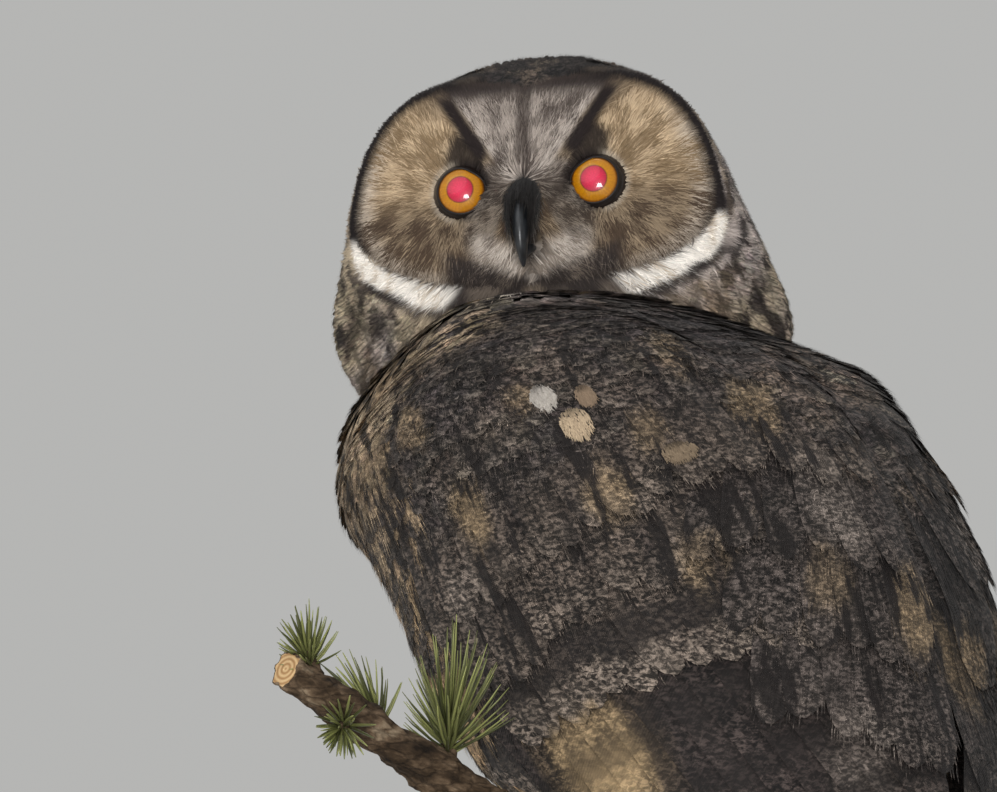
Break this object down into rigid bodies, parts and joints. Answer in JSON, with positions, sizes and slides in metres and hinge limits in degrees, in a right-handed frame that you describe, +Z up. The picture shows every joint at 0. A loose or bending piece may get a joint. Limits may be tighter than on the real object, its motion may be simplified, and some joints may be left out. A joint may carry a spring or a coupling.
{
  "type": "long-eared owl",
  "caption": "Still life-size long-eared owl on a cut branch, head turned back over its left shoulder, held by a plain round base with two rods.",
  "frame": {"origin": "centre of the display base's flat underside", "axes": "+Z up; the body faces -Y and its left side is +X; the head is turned back over the left shoulder"},
  "size_m": [0.2394, 0.1973, 0.3617],
  "materials": {
    "plumage": "soft vaned feathers, dark brown, grey and buff",
    "face_feathers": "fine buff, white and black disc feathers",
    "leg_feathers": "short dense buff feathers",
    "eye": "wet clear cornea over an orange iris",
    "horn": "dark polished horn",
    "bark": "rough scaly conifer bark",
    "needles": "waxy conifer needles",
    "base_wood": "turned dark hardwood, satin oil",
    "rod_steel": "brushed steel rod"
  },
  "bodies": {
    "root": {"bill_lower": "horn", "bill_upper": "horn", "claw_left_hind": "horn", "claw_left_inner": "horn", "claw_left_middle": "horn", "claw_left_outer": "horn", "claw_right_hind": "horn", "claw_right_inner": "horn", "claw_right_middle": "horn", "claw_right_outer": "horn", "ear_tuft_left": "plumage", "ear_tuft_right": "plumage", "eye_left": "eye", "eye_right": "eye", "foot_left": "leg_feathers", "foot_right": "leg_feathers", "head": "face_feathers", "neck": "plumage", "needle_tuft": "needles", "perch_branch": "bark", "scapulars_left": "plumage", "scapulars_right": "plumage", "stand_base": "base_wood", "stand_rod_1": "rod_steel", "stand_rod_2": "rod_steel", "tail": "plumage", "torso": "plumage", "wing_left": "plumage", "wing_right": "plumage"}
  },
  "joints": []
}
